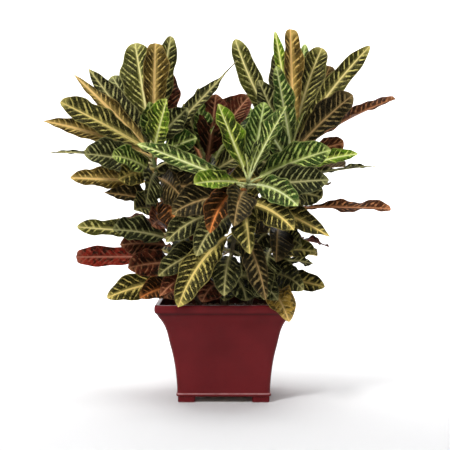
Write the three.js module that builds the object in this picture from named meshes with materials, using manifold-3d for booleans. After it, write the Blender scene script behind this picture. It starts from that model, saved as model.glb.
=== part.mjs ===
// A potted croton. Four leafy stems stand in the soil of a square, flared, glazed pot on block feet.
// Millimetres, +Z up, seen along +Y. The origin is the middle of the pot's footprint, at the surface
// that it stands on.

import * as THREE from "three";
import Module from "manifold-3d";

const manifold = await Module();
manifold.setup();

// ---------- driving dimensions ----------

const POT_HEIGHT = 150;
const RIM_HALF = 102;
const CORNER_RADIUS = 7;
const CORNER_STEPS = 2;
const WALL = 7;
const FLOOR_TOP = 20;
const FOOT_HEIGHT = 9;
const FOOT_SIDE = 26;
const FOOT_MIDDLE = 56;
const FOOT_OVERLAP = 2;

// Outside of the pot, from the underside to the rim: height, half the width across the flats.
const OUTSIDE = [
  [9, 69.5], [10, 71.5], [13, 71.5], [14.5, 70], [30, 70.6], [45, 72], [60, 74], [75, 76.8], [88, 80],
  [100, 82.6], [111, 85.4], [120, 89], [127, 93], [132, 96.5], [136, 98.5], [138.5, 101.2],
  [140.5, RIM_HALF], [148, RIM_HALF], [POT_HEIGHT, RIM_HALF - 1.5],
];
const RIM_INNER_HALF = 93;
const INSIDE_HEIGHTS = [132, 120, 100, 75, 45];

const SOIL_TOP = 129;
const SOIL_CROWN = 5;
const SOIL_GAP = 0.4;

const STEM_SIDES = 6;
const STEM_STEPS = 8;
const STEM_FOOT_RADIUS = 4.2;
const STEM_TOP_RADIUS = 2.4;
const ROOT_DEPTH = 60;
const HOLE_GAP = 0.4;

const PETIOLE = 20;
const PETIOLE_HALF = 1.6;
const PETIOLE_THICK = 2.6;
const TIP_THICK = 1.4;
const PETIOLE_EDGE_THICK = 1.5;
const EDGE_THICK = 0.8;
const EDGE_MIN_HALF = 0.8;
const BLUNT_WIDEST_AT = 0.63;
const SLENDER_WIDEST_AT = 0.5;
const BASE_SHAPE = 0.8;
const WAVES = 2.2;
const SIDE_PHASE = 1.7;
// Shares of a blade's length at which its sections stand, for a leaf in view and for one at the back.
const SEEN_STATIONS = [0, 0.2, 0.42, 0.64, 0.84, 1];
const BACK_STATIONS = [0, 0.3, 0.6, 0.86, 1];

// Centre line of each stem above the soil, as the four points of a cubic curve.
const STEMS = {
  left: stemPath([-36, 6, 130], [-52, 6, 190], [-98, 4, 260], [-112, 8, 388]),
  right: stemPath([36, 4, 130], [58, 4, 190], [98, 4, 265], [108, 6, 388]),
  front: stemPath([4, -40, 130], [2, -46, 190], [18, -64, 262], [37, -76, 335]),
  back: stemPath([-2, 42, 130], [-4, 48, 210], [-18, 56, 300], [-32, 50, 368]),
};

function stemPath(...points) {
  return new THREE.CubicBezierCurve3(...points.map(([x, y, z]) => new THREE.Vector3(x, y, z)));
}

// Leaves that the photograph shows: stem, place along it (0 at the soil, 1 at its top), the tip's column
// and row in the photograph and its depth y, then the blade's width, its arch, its turn in degrees and
// its slenderness (0 for a blunt leaf, widest past its middle, and 1 or more for a tapering one).
const SEEN_LEAVES = [
  ["left", 0.98, 135, 43, 66, 66, 0, 24, 0.55],
  ["left", 0.99, 155, 43, -14, 44, 0, 190, -0.5],
  ["left", 0.985, 171, 36, 26, 34, 2, 84, 0.1],
  ["left", 0.95, 170, 72, 36, 50, 2, 50, 0.6],
  ["left", 0.96, 88, 68, 28, 46, 0, 64, 1.6],
  ["left", 0.955, 72, 73, 0, 32, 2, 70, 2.0],
  ["left", 0.97, 60, 102, -44, 46, 2, 74, 0.1],
  ["left", 0.95, 42, 121, -34, 40, 6, 66, 1.6],
  ["left", 0.92, 48, 153, 30, 28, 6, 14, 2.2],
  ["left", 0.9, 84, 154, -56, 54, 4, 76, 0.4],
  ["left", 0.86, 112, 156, -90, 40, 8, 76, 0.6],
  ["left", 0.84, 70, 178, -45, 38, 0, 70, 0.8],
  ["left", 0.93, 112, 76, 84, 56, 4, 38, 0.6],
  ["left", 0.93, 97, 108, 68, 50, 0, 48, 0.5],
  ["left", 0.97, 167, 99, -88, 46, 0, 130, 0.9],
  ["left", 0.97, 149, 102, -44, 38, 4, 160, 0.8],
  ["left", 0.72, 103, 193, -50, 36, 4, 60, 1.8],
  ["left", 0.66, 134, 210, -76, 54, 8, 62, 0.4],
  ["left", 0.56, 77, 227, -30, 30, 0, 64, 0.1],
  ["left", 0.52, 113, 230, -60, 46, 4, 66, 0.4],
  ["left", 0.6, 152, 226, -98, 46, 10, 50, 0.6],
  ["left", 0.42, 76, 257, -25, 34, 0, 76, -0.8],
  ["left", 0.37, 128, 268, -72, 46, 4, 66, 0.4],
  ["left", 0.24, 107, 298, -60, 46, 8, 66, 0.8],
  ["left", 0.2, 140, 298, -100, 42, 8, 60, 0.6],
  ["left", 0.76, 178, 230, -92, 46, 14, 50, 0.7],
  ["left", 0.86, 186, 204, -100, 52, 8, 74, 0.8],
  ["left", 0.52, 192, 262, -84, 48, 14, 55, 0.8],
  ["left", 0.38, 182, 288, -84, 48, 14, 45, 0.8],
  ["left", 0.9, 118, 180, -62, 46, 4, 66, 0.6],
  ["left", 0.88, 146, 204, -84, 52, 14, 60, 0.6],
  ["left", 0.9, 198, 160, -18, 48, 8, 74, 0.8],
  ["left", 0.8, 206, 190, -34, 54, 6, 72, 0.8],
  ["left", 0.985, 188, 108, -30, 44, 4, 110, 0.9],
  ["left", 0.48, 120, 245, -40, 42, 4, 70, 0.6],
  ["left", 0.14, 164, 298, -92, 44, 10, 50, 0.8],
  ["left", 0.975, 238, 60, -24, 30, 0, 76, 2.4],
  ["left", 0.95, 197, 138, -26, 46, 2, 78, 0.8],
  ["right", 0.97, 235, 39, -12, 36, -8, 98, 0.1],
  ["right", 0.98, 275, 31, 72, 22, 4, 18, 0.7],
  ["right", 0.99, 290, 29, 10, 36, 0, 22, -0.3],
  ["right", 0.92, 277, 53, 90, 50, 6, 12, 0.7],
  ["right", 0.95, 276, 66, -50, 36, 2, 140, 0.9],
  ["right", 0.93, 258, 80, -16, 44, 2, 100, 0.7],
  ["right", 0.91, 305, 44, 112, 30, 4, 20, 0.6],
  ["right", 0.985, 322, 48, 52, 50, 8, 36, 0.4],
  ["right", 0.93, 330, 66, 76, 60, 0, 28, 0.5],
  ["right", 0.98, 370, 46, 0, 34, 7, 82, 0.5],
  ["right", 0.96, 353, 95, -45, 48, 4, 92, 0.1],
  ["right", 0.95, 396, 99, 48, 28, 9, 22, -0.8],
  ["right", 0.9, 344, 143, 10, 40, 6, 110, 0.1],
  ["right", 0.88, 358, 154, -20, 26, 4, 64, 0.8],
  ["right", 0.84, 376, 166, 30, 22, 4, 12, 1.8],
  ["right", 0.7, 391, 209, 0, 30, 2, 34, -0.5],
  ["right", 0.5, 329, 247, 20, 22, 8, 14, 0.8],
  ["right", 0.44, 316, 252, -45, 34, 4, 56, 0.9],
  ["right", 0.37, 313, 264, 20, 26, 4, 30, 0.8],
  ["right", 0.28, 325, 287, -52, 34, 2, 66, 0.4],
  ["right", 0.52, 302, 246, -84, 50, 8, 64, 0.6],
  ["right", 0.26, 304, 290, -92, 46, 14, 58, 0.6],
  ["right", 0.9, 252, 110, -56, 48, 4, 104, 0.8],
  ["right", 0.6, 276, 262, -108, 50, 14, 36, 0.8],
  ["right", 0.82, 288, 222, -84, 52, 14, 40, 0.8],
  ["right", 0.46, 264, 286, -66, 46, 14, 34, 0.8],
  ["right", 0.86, 246, 158, -44, 54, 6, 90, 0.8],
  ["right", 0.82, 228, 180, -36, 54, 4, 84, 0.7],
  ["right", 0.62, 240, 226, -56, 52, 8, 70, 0.8],
  ["right", 0.56, 256, 244, -34, 50, 8, 70, 0.8],
  ["right", 0.78, 322, 198, -40, 46, 4, 70, 0.5],
  ["right", 0.12, 272, 299, -60, 44, 10, 40, 0.8],
  ["right", 0.16, 289, 322, -134, 46, 24, 16, 0.5],
  ["front", 0.68, 266, 300, -148, 38, 14, 46, 0.9],
  ["front", 0.99, 218, 104, -96, 40, 0, 84, 1.0],
  ["front", 0.985, 287, 106, -112, 40, 2, 72, 0.9],
  ["front", 0.975, 264, 102, -54, 50, -2, 60, 0.8],
  ["front", 0.97, 331, 150, -92, 52, 4, 78, 0.7],
  ["front", 0.94, 329, 180, -130, 50, 2, 76, 0.7],
  ["front", 0.965, 194, 184, -168, 34, 4, 60, 0.0],
  ["front", 0.94, 137, 144, -95, 30, 2, 76, 0.7],
  ["front", 0.88, 330, 237, -138, 38, 4, 60, 1.4],
  ["front", 0.93, 210, 233, -160, 44, 18, 26, 0.9],
  ["front", 0.86, 172, 214, -140, 52, 12, 62, 0.8],
  ["front", 0.91, 234, 226, -178, 48, 16, 34, 0.8],
  ["front", 0.76, 166, 242, -122, 46, 16, 62, 0.9],
  ["front", 0.84, 294, 230, -148, 46, 10, 64, 1.0],
  ["front", 0.96, 298, 206, -158, 42, 10, 64, 0.9],
  ["front", 0.8, 250, 254, -160, 44, 18, 30, 1.0],
  ["front", 0.5, 264, 300, -112, 46, 16, 26, 0.9],
  ["front", 0.64, 178, 307, -148, 50, 16, 46, 0.7],
  ["front", 0.76, 196, 256, -166, 42, 16, 44, 0.7],
  ["front", 0.5, 158, 276, -132, 44, 14, 60, 0.9],
  ["front", 0.48, 224, 296, -128, 48, 16, 12, 1.0],
  ["front", 0.3, 278, 300, -104, 44, 14, 64, 0.8],
  ["front", 0.34, 160, 296, -132, 40, 18, 54, 0.9],
  ["front", 0.3, 246, 301, -84, 48, 12, 16, 0.7],
  ["front", 0.22, 202, 302, -112, 48, 14, 30, 0.7],
  ["front", 0.1, 224, 301, -92, 46, 12, 20, 0.8],
  ["back", 0.99, 197, 100, 14, 36, 2, 130, 0.8],
  ["back", 0.98, 183, 104, 20, 42, 2, 100, 0.9],
  ["back", 0.97, 198, 88, 50, 42, 2, 84, 1.0],
  ["back", 0.94, 250, 96, 66, 58, 6, 56, 0.6],
  ["back", 0.93, 216, 94, 28, 56, -2, 150, 0.6],
  ["back", 0.87, 250, 106, 118, 50, 6, 34, 0.8],
  ["back", 0.9, 174, 112, 98, 48, 6, 34, 0.8],
  ["back", 0.86, 264, 148, 30, 52, 6, 66, 0.8],
  ["back", 0.84, 216, 176, -26, 52, 10, 66, 0.8],
  ["back", 0.76, 180, 198, 4, 52, 6, 70, 0.8],
  ["back", 0.78, 154, 172, 40, 54, 4, 74, 0.6],
  ["back", 0.66, 262, 204, -22, 52, 6, 70, 0.8],
  ["back", 0.58, 228, 234, -22, 50, 10, 40, 0.8],
  ["back", 0.5, 186, 250, 0, 50, 8, 60, 0.8],
  ["back", 0.44, 266, 262, -20, 50, 10, 60, 0.7],
  ["back", 0.32, 200, 288, -16, 48, 10, 36, 0.8],
  ["back", 0.24, 240, 290, -30, 48, 12, 28, 0.7],
  ["back", 0.14, 266, 296, 50, 50, 8, 50, 0.7],
  ["back", 0.14, 186, 296, 50, 50, 8, 50, 0.7],
  ["back", 0.12, 226, 295, 84, 48, 10, 160, 0.7],
];

// Leaves that the photograph hides, by a rule: stem, count, lowest and highest place along it, the middle
// and half the width of the sector that they point into, their least and most rise, and their length.
const FILL_LEAVES = [
  ["left", 3, 0.70, 0.92, 118, 50, 18, 48, 150],
  ["left", 6, 0.26, 0.66, 112, 32, 0, 25, 145],
  ["right", 3, 0.70, 0.92, 74, 40, 18, 48, 150],
  ["right", 6, 0.26, 0.66, 80, 32, 0, 25, 145],
  ["back", 5, 0.74, 0.92, 90, 44, 20, 48, 128],
  ["back", 8, 0.16, 0.68, 90, 42, -8, 25, 128],
];
const SEED = 1057;

// ---------- how a leaf is placed ----------

// The photograph is 450 pixels square. A leaf tip's column and row there, with its depth y in
// millimetres, give its place in space for a viewer at EYE who looks at LOOK_AT.
const EYE = new THREE.Vector3(2, -1600, 330);
const LOOK_AT = new THREE.Vector3(2, 0, 264);
const HALF_FRAME = 225;
const FOCAL_PIXELS = 1028;

const forward = LOOK_AT.clone().sub(EYE).normalize();
const right = new THREE.Vector3(1, 0, 0);
const upward = right.clone().cross(forward);

function fromPhoto(column, row, y) {
  const ray = forward.clone()
    .addScaledVector(right, (column - HALF_FRAME) / FOCAL_PIXELS)
    .addScaledVector(upward, (HALF_FRAME - row) / FOCAL_PIXELS);
  return EYE.clone().addScaledVector(ray, (y - EYE.y) / ray.y);
}

function* seededDraws(seed) {
  let state = seed;
  while (true) {
    state = (state * 16807) % 2147483647;
    yield state / 2147483647;
  }
}

const draws = seededDraws(SEED);
const draw = () => draws.next().value;

// What each leaf has of its own, beyond its place: its fold, its waves and its twist.
function grow(stem, at, tip, wide, arch, turn, slender, atBack) {
  return {
    stations: atBack ? BACK_STATIONS : SEEN_STATIONS,
    stem,
    base: STEMS[stem].getPoint(at),
    tip,
    wide,
    arch,
    turn,
    fold: 0.38 + 0.44 * draw(),
    phase: 2 * Math.PI * draw(),
    wave: 2 + 2.6 * draw(),
    twist: 36 * (draw() - 0.5),
    slender,
  };
}

function seenLeaves() {
  return SEEN_LEAVES.map(([stem, at, column, row, y, wide, arch, turn, slender]) =>
    grow(stem, at, fromPhoto(column, row, y), wide, arch, turn, slender, stem === "back"));
}

const GOLDEN = 0.618034;
const radians = THREE.MathUtils.degToRad;

function fillLeaves() {
  const leaves = [];
  for (const [stem, count, low, high, middle, half, flat, steep, length] of FILL_LEAVES) {
    for (let k = 0; k < count; k += 1) {
      const share = (k + 0.5) / count;
      const at = low + (high - low) * share;
      const azimuth = radians(middle + half * (2 * ((k * GOLDEN) % 1) - 1));
      const rise = radians(flat + (steep - flat) * share + 14 * (draw() - 0.5));
      const reach = length * (0.86 + 0.28 * draw());
      const heading = new THREE.Vector3(
        Math.cos(rise) * Math.cos(azimuth), Math.cos(rise) * Math.sin(azimuth), Math.sin(rise));
      const tip = STEMS[stem].getPoint(at).addScaledVector(heading, reach);
      const wide = 36 + 10 * draw();
      const arch = 10 + 10 * draw();
      const turn = 30 * (draw() - 0.5);
      const slender = draw();
      leaves.push(grow(stem, at, tip, wide, arch, turn, slender, true));
    }
  }
  return leaves;
}

// ---------- solids from rings ----------

// A closed solid through rings of equal length. slant[j] says which diagonal splits side j.
function loft(rings, slant, caps) {
  const sides = rings[0].length;
  const position = rings.flat().flatMap((point) => [point.x, point.y, point.z]);
  const index = [];
  for (let k = 0; k + 1 < rings.length; k += 1) {
    for (let j = 0; j < sides; j += 1) {
      const a = k * sides + j;
      const b = k * sides + (j + 1) % sides;
      const c = b + sides;
      const d = a + sides;
      if (slant[j]) index.push(a, b, d, b, c, d);
      else index.push(a, b, c, a, c, d);
    }
  }
  const last = (rings.length - 1) * sides;
  for (const [a, b, c] of caps) {
    index.push(a, b, c);
    index.push(last + a, last + c, last + b);
  }
  return solidOf(position, index);
}

function solidOf(position, index) {
  let volume = 0;
  const corner = (i) => new THREE.Vector3().fromArray(position, 3 * i);
  for (let t = 0; t < index.length; t += 3) {
    const [a, b, c] = [corner(index[t]), corner(index[t + 1]), corner(index[t + 2])];
    volume += a.dot(b.cross(c));
  }
  const ordered = volume > 0 ? index : index.toReversed();
  return new manifold.Manifold(new manifold.Mesh({
    numProp: 3,
    vertProperties: new Float32Array(position),
    triVerts: new Uint32Array(ordered),
  }));
}

function fanCaps(sides) {
  const caps = [];
  for (let j = 1; j + 1 < sides; j += 1) caps.push([0, j + 1, j]);
  return caps;
}

function meshOf(name, solid, material) {
  const { vertProperties, triVerts } = solid.getMesh();
  const geometry = new THREE.BufferGeometry();
  geometry.setAttribute("position", new THREE.BufferAttribute(vertProperties, 3));
  geometry.setIndex(new THREE.BufferAttribute(triVerts, 1));
  const faceted = geometry.toNonIndexed();
  faceted.computeVertexNormals();
  const mesh = new THREE.Mesh(faceted, material);
  mesh.name = name;
  return mesh;
}

// ---------- pot and soil ----------

function squareRing(half, z, corner = CORNER_RADIUS) {
  const ring = [];
  for (let quarter = 0; quarter < 4; quarter += 1) {
    for (let step = 0; step <= CORNER_STEPS; step += 1) {
      const angle = (quarter + step / CORNER_STEPS) * Math.PI / 2;
      const [signX, signY] = [[1, 1], [-1, 1], [-1, -1], [1, -1]][quarter];
      ring.push(new THREE.Vector3(
        signX * (half - corner) + corner * Math.cos(angle),
        signY * (half - corner) + corner * Math.sin(angle),
        z));
    }
  }
  return ring;
}

function outsideHalf(z) {
  const next = OUTSIDE.findIndex(([height]) => height >= z);
  const [z1, half1] = OUTSIDE[next];
  const [z0, half0] = OUTSIDE[next - 1];
  return half0 + (half1 - half0) * (z - z0) / (z1 - z0);
}

const insideHalf = (z) => Math.min(outsideHalf(z) - WALL, RIM_INNER_HALF);

function plainLoft(rings) {
  const sides = rings[0].length;
  return loft(rings, Array(sides).fill(false), fanCaps(sides));
}

function potSolid() {
  const outer = OUTSIDE.map(([z, half]) => squareRing(half, z));
  const inner = [squareRing(RIM_INNER_HALF, POT_HEIGHT)];
  for (const z of [...INSIDE_HEIGHTS, FLOOR_TOP]) inner.push(squareRing(insideHalf(z), z));
  let pot = plainLoft([...outer, ...inner]);
  for (const signX of [-1, 1]) {
    for (const signY of [-1, 1]) {
      const low = squareRing(FOOT_SIDE / 2, 0, CORNER_RADIUS / 2);
      const high = squareRing(FOOT_SIDE / 2, FOOT_HEIGHT + FOOT_OVERLAP, CORNER_RADIUS / 2);
      const foot = plainLoft([low, high]);
      pot = pot.add(foot.translate(signX * FOOT_MIDDLE, signY * FOOT_MIDDLE, 0));
    }
  }
  return pot;
}

function soilSolid() {
  const rings = [squareRing(insideHalf(FLOOR_TOP) - SOIL_GAP, FLOOR_TOP + SOIL_GAP)];
  for (const z of [...INSIDE_HEIGHTS.toReversed().slice(0, -1), SOIL_TOP]) {
    rings.push(squareRing(insideHalf(z) - SOIL_GAP, z));
  }
  const edge = insideHalf(SOIL_TOP) - SOIL_GAP;
  for (const share of [0.7, 0.4, 0.15]) {
    rings.push(squareRing(edge * share, SOIL_TOP + SOIL_CROWN * (1 - share * share)));
  }
  let soil = plainLoft(rings);
  for (const path of Object.values(STEMS)) soil = soil.subtract(stemSolid(path, HOLE_GAP));
  return soil;
}

// ---------- leafy stems ----------

// The stem runs on straight below the soil line, to ROOT_DEPTH. grown widens it all round, for the
// hole that it stands in.
function stemSolid(path, grown = 0) {
  const start = path.getPoint(0);
  const down = path.getTangent(0).negate();
  const stations = [[start.clone().addScaledVector(down, ROOT_DEPTH + grown), 0]];
  for (let k = 0; k <= STEM_STEPS; k += 1) stations.push([path.getPoint(k / STEM_STEPS), k / STEM_STEPS]);
  const rings = stations.map(([centre, share]) => {
    const along = path.getTangent(share);
    const across = new THREE.Vector3(0, 1, 0).cross(along).normalize();
    const other = along.clone().cross(across);
    const radius = THREE.MathUtils.lerp(STEM_FOOT_RADIUS, STEM_TOP_RADIUS, share) + grown;
    return Array.from({ length: STEM_SIDES }, (_, j) => {
      const angle = 2 * Math.PI * j / STEM_SIDES;
      return centre.clone()
        .addScaledVector(across, radius * Math.cos(angle))
        .addScaledVector(other, radius * Math.sin(angle));
    });
  });
  return plainLoft(rings);
}

// A slender leaf is widest nearer its middle, with a sharper tip.
function bladeShape(u, slender) {
  const widestAt = THREE.MathUtils.lerp(BLUNT_WIDEST_AT, SLENDER_WIDEST_AT, slender);
  const tipShape = BASE_SHAPE * (1 - widestAt) / widestAt;
  const top = widestAt ** BASE_SHAPE * (1 - widestAt) ** tipShape;
  return u ** BASE_SHAPE * (1 - u) ** tipShape / top;
}

// A leaf's midrib runs in an arch from the stem's middle to the tip. Its upper face looks up and in
// towards the stem, and a positive turn rolls that face towards the viewer.
function leafFrame(leaf) {
  const chord = leaf.tip.clone().sub(leaf.base);
  const length = chord.length();
  const along = chord.clone().normalize();
  const lift = new THREE.Vector3(0, 0, 1).addScaledVector(along, -along.z).normalize();
  const rollSign = along.clone().cross(lift).y <= 0 ? 1 : -1;
  const path = new THREE.CubicBezierCurve3(
    leaf.base,
    leaf.base.clone().addScaledVector(chord, 0.33).addScaledVector(lift, 1.4 * leaf.arch),
    leaf.base.clone().addScaledVector(chord, 0.7).addScaledVector(lift, 1.25 * leaf.arch),
    leaf.tip);
  return { path, length, lift, rollSign };
}

// The left edge, midrib and right edge of the blade at share u of its length, and the direction that
// its upper face looks in there.
function bladeSection(leaf, { path, length, lift, rollSign }, u) {
  const share = PETIOLE / length + u * (1 - PETIOLE / length);
  const along = path.getTangent(share);
  const natural = lift.clone().addScaledVector(along, -lift.dot(along)).normalize();
  const side = along.clone().cross(natural);
  const turn = radians(leaf.turn + leaf.twist * (u - 0.4)) * rollSign;
  const face = natural.clone().multiplyScalar(Math.cos(turn)).addScaledVector(side, Math.sin(turn));
  const across = along.clone().cross(face);
  const least = u > 0.5 ? EDGE_MIN_HALF : PETIOLE_HALF;
  const half = Math.max(leaf.wide / 2 * bladeShape(u, leaf.slender), least);
  const swell = Math.sqrt(Math.sin(Math.PI * u));
  const points = [-1, 0, 1].map((q) => {
    const a = Math.abs(q);
    const phase = leaf.phase + (q > 0 ? SIDE_PHASE : 0);
    const wave = leaf.wave * a * Math.sin(2 * Math.PI * WAVES * u + phase) * swell;
    return path.getPoint(share)
      .addScaledVector(across, q * half * (1 - 0.12 * leaf.fold * a))
      .addScaledVector(face, leaf.fold * half * a * (1 - 0.3 * a) + wave);
  });
  return { points, face };
}

// Both faces of a section as one ring: the upper face from left to right, then the lower face back.
function thickRing(points, face, edge, middle) {
  const halves = [edge / 2, middle / 2, edge / 2];
  const upper = points.map((point, j) => point.clone().addScaledVector(face, halves[j]));
  const lower = points.map((point, j) => point.clone().addScaledVector(face, -halves[j]));
  return [...upper, ...lower.toReversed()];
}

// Upper and lower face are split along the same diagonals, so that they never meet.
const BLADE_SLANT = [false, true, false, false, true, false];
const BLADE_CAPS = [[0, 5, 4], [0, 4, 1], [1, 4, 3], [1, 3, 2]];

function leafSolid(leaf) {
  const frame = leafFrame(leaf);
  const { stations } = leaf;
  const sections = stations.map((u) => bladeSection(leaf, frame, u));
  const rings = sections.map(({ points, face }, k) => {
    const edge = k === 0 ? PETIOLE_EDGE_THICK : EDGE_THICK;
    return thickRing(points, face, edge, THREE.MathUtils.lerp(PETIOLE_THICK, TIP_THICK, stations[k]));
  });
  const side = frame.path.getTangent(0).cross(sections[0].face).normalize();
  const face = side.clone().cross(frame.path.getTangent(0)).normalize();
  const root = [-PETIOLE_HALF, 0, PETIOLE_HALF].map((q) => leaf.base.clone().addScaledVector(side, q));
  rings.unshift(thickRing(root, face, PETIOLE_EDGE_THICK, PETIOLE_THICK));
  return loft(rings, BLADE_SLANT, BLADE_CAPS);
}

function leafyStem(name, leaves) {
  const own = leaves.filter((leaf) => leaf.stem === name);
  return outerShell(own.reduce((whole, leaf) => whole.add(leafSolid(leaf)), stemSolid(STEMS[name])));
}

// Where fused leaves close off a small hollow, its shell has a negative volume and is left out.
function outerShell(solid) {
  return solid.decompose().reduce((best, shell) => (shell.volume() > best.volume() ? shell : best));
}

// ---------- the plant ----------

const glaze = new THREE.MeshStandardMaterial({ color: 0x6b2428, roughness: 0.25, metalness: 0 });
const earth = new THREE.MeshStandardMaterial({ color: 0x2b2119, roughness: 0.95, metalness: 0 });
const foliage = new THREE.MeshStandardMaterial({ color: 0x4f6b2f, roughness: 0.5, metalness: 0 });

const croton = new THREE.Group();
croton.add(meshOf("pot", potSolid(), glaze));
croton.add(meshOf("soil", soilSolid(), earth));
const leaves = [...seenLeaves(), ...fillLeaves()];
for (const name of Object.keys(STEMS)) {
  croton.add(meshOf(`leafy_stem_${name}`, leafyStem(name, leaves), foliage));
}

export default croton;
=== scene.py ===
"""A potted croton: four leafy stems with veined leaves, soil with bark, and a square glazed pot on
block feet. Shapes are worked out in millimetres and turned into metres as each mesh is made."""

from math import ceil, cos, hypot, pi, radians, sin
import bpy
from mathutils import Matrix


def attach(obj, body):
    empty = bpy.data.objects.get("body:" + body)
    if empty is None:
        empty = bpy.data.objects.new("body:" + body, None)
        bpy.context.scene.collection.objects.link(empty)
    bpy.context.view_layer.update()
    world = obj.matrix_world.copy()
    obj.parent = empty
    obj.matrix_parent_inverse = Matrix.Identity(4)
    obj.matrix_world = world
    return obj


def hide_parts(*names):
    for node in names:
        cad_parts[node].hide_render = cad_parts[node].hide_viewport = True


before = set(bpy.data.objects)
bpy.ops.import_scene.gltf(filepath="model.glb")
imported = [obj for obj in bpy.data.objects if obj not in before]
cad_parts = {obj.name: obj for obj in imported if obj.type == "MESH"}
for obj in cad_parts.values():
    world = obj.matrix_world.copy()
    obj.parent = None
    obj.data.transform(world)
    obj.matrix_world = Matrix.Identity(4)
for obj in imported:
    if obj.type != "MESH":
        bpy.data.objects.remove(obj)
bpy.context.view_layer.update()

from types import SimpleNamespace

import bpy
import numpy as np
from mathutils import Vector, noise

MM = 0.001

# ---- the pot and the soil, in millimetres ----

RIM_INNER_HALF = 93
CORNER_RADIUS = 7
WALL = 7
FLOOR_TOP = 20
FOOT_HEIGHT = 9
FOOT_SIDE = 26
FOOT_MIDDLE = 56
FOOT_OVERLAP = 2
FOOT_CORNER = 3.5
FOOT_ROUNDING = 1.2

# Half the pot's outer width at each height.
OUTSIDE = [
    (9, 69.2), (9.3, 70.5), (10.1, 71.3), (11.5, 71.5), (12.9, 71.3), (13.9, 70.5), (14.7, 70.05),
    (16, 70.0), (30, 70.6), (45, 72), (60, 74), (75, 76.8), (88, 80), (100, 82.6), (111, 85.4),
    (120, 89), (127, 93), (132, 96.5), (135.4, 98.4), (136.6, 99.2), (138, 100.9), (139.2, 101.7),
    (141, 102), (147, 102), (148.7, 101.6), (149.7, 100.6), (150, 99.4),
]

# Heights on the lip's inner rounding, and how much wider it is there than the rim's inside.
LIP_ROUNDING = [(149.8, 1.4), (149.2, 0.5), (148, 0)]
INSIDE_HEIGHTS = [140, 132, 126, 120, 110, 100, 88, 75, 60, 45, 26]

# Where the glaze is paler at the ledge's edge (thin glaze and a painted highlight), where a painted
# shadow darkens it below the lip, and how far each runs.
THIN_GLAZE_AND_HIGHLIGHT_HEIGHT = 13.5
THIN_GLAZE_AND_HIGHLIGHT_REACH = 1.2
SHADOW_UNDER_LIP_HEIGHT = 137
SHADOW_UNDER_LIP_REACH = 1.6

SOIL_TOP = 129
SOIL_CROWN = 5
SOIL_GAP = 0.4
SOIL_POINTS = 73
SOIL_WALL_HEIGHTS = [120, 100, 75, 45, FLOOR_TOP + SOIL_GAP]
SOIL_SEED = 77

# Bits on the soil: how many, their lengths' and thicknesses' span, and their material's slot.
SOIL_BITS = [
    (330, (5, 13), (1.6, 3.4), 1),
    (150, (2.5, 5), (1.2, 2.6), 3),
    (70, (2.0, 3.8), (1.6, 2.8), 2),
]

# Values of bare clay and of peat.
BLANK = (0, 0, 0)

# ---- the stems ----

STEM_FOOT_RADIUS = 4.2
STEM_TOP_RADIUS = 2.4
ROOT_DEPTH = 60
ROOT_STEPS = 8

# The height and half length of a stem's swelling, and places of the scars where leaves have fallen.
JOINT_SWELL = 0.42
JOINT_HALF = 1.3
SCARS = [0.07 + 0.055 * k for k in range(10)]

# Each stem's middle line, from the soil up, as the four points of a Bezier curve.
STEMS = {
    "left": [(-36, 6, 130), (-52, 6, 190), (-98, 4, 260), (-112, 8, 388)],
    "right": [(36, 4, 130), (58, 4, 190), (98, 4, 265), (108, 6, 388)],
    "front": [(4, -40, 130), (2, -46, 190), (18, -64, 262), (37, -76, 335)],
    "back": [(-2, 42, 130), (-4, 48, 210), (-18, 56, 300), (-32, 50, 368)],
}

# ---- the leaves ----

PETIOLE = 20
PETIOLE_HALF = 1.6

# Where along its length a leaf is widest, and how its base widens.
BLUNT_WIDEST_AT = 0.63
SLENDER_WIDEST_AT = 0.5
BASE_SHAPE = 0.8

# Waves along a blade's edge, how far one side's are ahead, finer ripples and their height, and how
# often and how much the half width swells.
WAVES = 2.2
SIDE_PHASE = 1.7
RIPPLES = 7.3
RIPPLE = 1.1
SWELLS = 3.3
SWELL = 0.07

# A blade's thickness at its edge, what the middle adds, and the groove over its midrib.
EDGE_THICK = 0.34
MIDDLE_THICK = 0.5
GROOVE = 0.4
# The midrib's half breadth at the blade's base, what it loses by the tip, and its depth to breadth.
RIB_HALF = 1.75
RIB_TAPER = 1.25
RIB_DEPTH = 0.75

# Least value and spread of a leaf's fold and of its waves' height, and the spread of its twist.
FOLD = (0.38, 0.44)
WAVE = (2, 2.6)
TWIST = 36

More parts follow.
